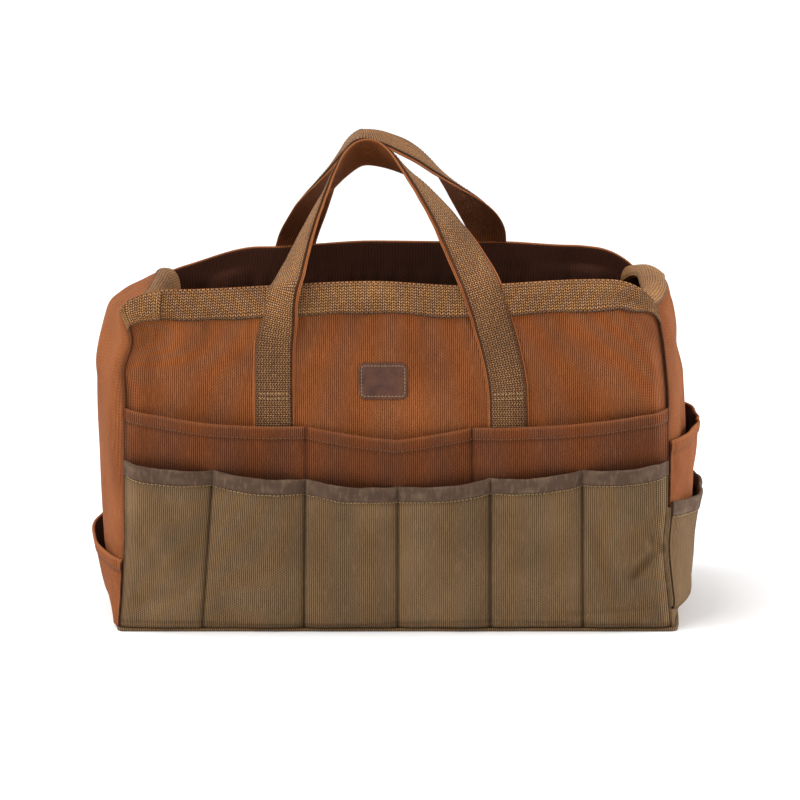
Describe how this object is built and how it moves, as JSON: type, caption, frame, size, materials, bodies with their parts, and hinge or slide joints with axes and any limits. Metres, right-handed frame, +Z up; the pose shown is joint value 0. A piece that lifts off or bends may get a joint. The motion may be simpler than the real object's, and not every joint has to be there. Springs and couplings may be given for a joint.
{
  "type": "open-top canvas tool tote",
  "caption": "Open-top canvas tool tote with a stiff flat base, webbing-bound rim, two hinging carry straps and open pockets all round the outside.",
  "frame": {"origin": "middle of the underside, on the surface the bag stands on", "axes": "+Z up, -Y the front with the label, +X along the bag's length"},
  "size_m": [0.496, 0.266, 0.3813],
  "materials": {
    "duck_brown": "sturdy woven cotton duck, matt",
    "duck_olive": "heavy woven polyester, matt",
    "webbing": "ribbed webbing with a slight sheen",
    "pocket_tape": "twill binding tape, matt",
    "seam_tape": "bound seam tape, matt",
    "board": "plain stiffener board",
    "thread": "bonded sewing thread",
    "patch": "plain stitched patch, satin"
  },
  "bodies": {
    "bag": {"bottom_panel": "duck_brown", "bottom_board": "board", "front_panel": "duck_brown", "back_panel": "duck_brown", "right_end_panel": "duck_brown", "left_end_panel": "duck_brown", "rim_webbing": "webbing", "front_upper_pocket_strip": "duck_brown", "back_upper_pocket_strip": "duck_brown", "front_lower_pocket_strip": "duck_olive", "back_lower_pocket_strip": "duck_olive", "front_lower_pocket_binding": "pocket_tape", "back_lower_pocket_binding": "pocket_tape", "left_end_pocket": "duck_brown", "right_end_upper_pocket": "duck_brown", "right_end_lower_pocket": "duck_olive", "right_end_lower_binding": "pocket_tape", "front_right_seam_binding": "seam_tape", "front_left_seam_binding": "seam_tape", "back_right_seam_binding": "seam_tape", "back_left_seam_binding": "seam_tape", "label_patch": "patch", "front_handle_stitch_bars": "thread", "front_left_anchor_webbing": "webbing", "front_left_anchor_backing": "duck_brown", "front_right_anchor_webbing": "webbing", "front_right_anchor_backing": "duck_brown", "back_handle_stitch_bars": "thread", "back_left_anchor_webbing": "webbing", "back_left_anchor_backing": "duck_brown", "back_right_anchor_webbing": "webbing", "back_right_anchor_backing": "duck_brown"},
    "front_handle": {"front_handle_webbing": "webbing", "front_handle_backing": "duck_brown"},
    "back_handle": {"back_handle_webbing": "webbing", "back_handle_backing": "duck_brown"}
  },
  "joints": [
    {"name": "front_handle_fold", "type": "hinge", "parent": "bag", "child": "front_handle", "pos_m": [0, -0.10577, 0.192], "axis": [1, 0, 0], "range_deg": [0, 160]},
    {"name": "back_handle_fold", "type": "hinge", "parent": "bag", "child": "back_handle", "pos_m": [0, 0.10577, 0.192], "axis": [-1, 0, 0], "range_deg": [0, 160]}
  ]
}
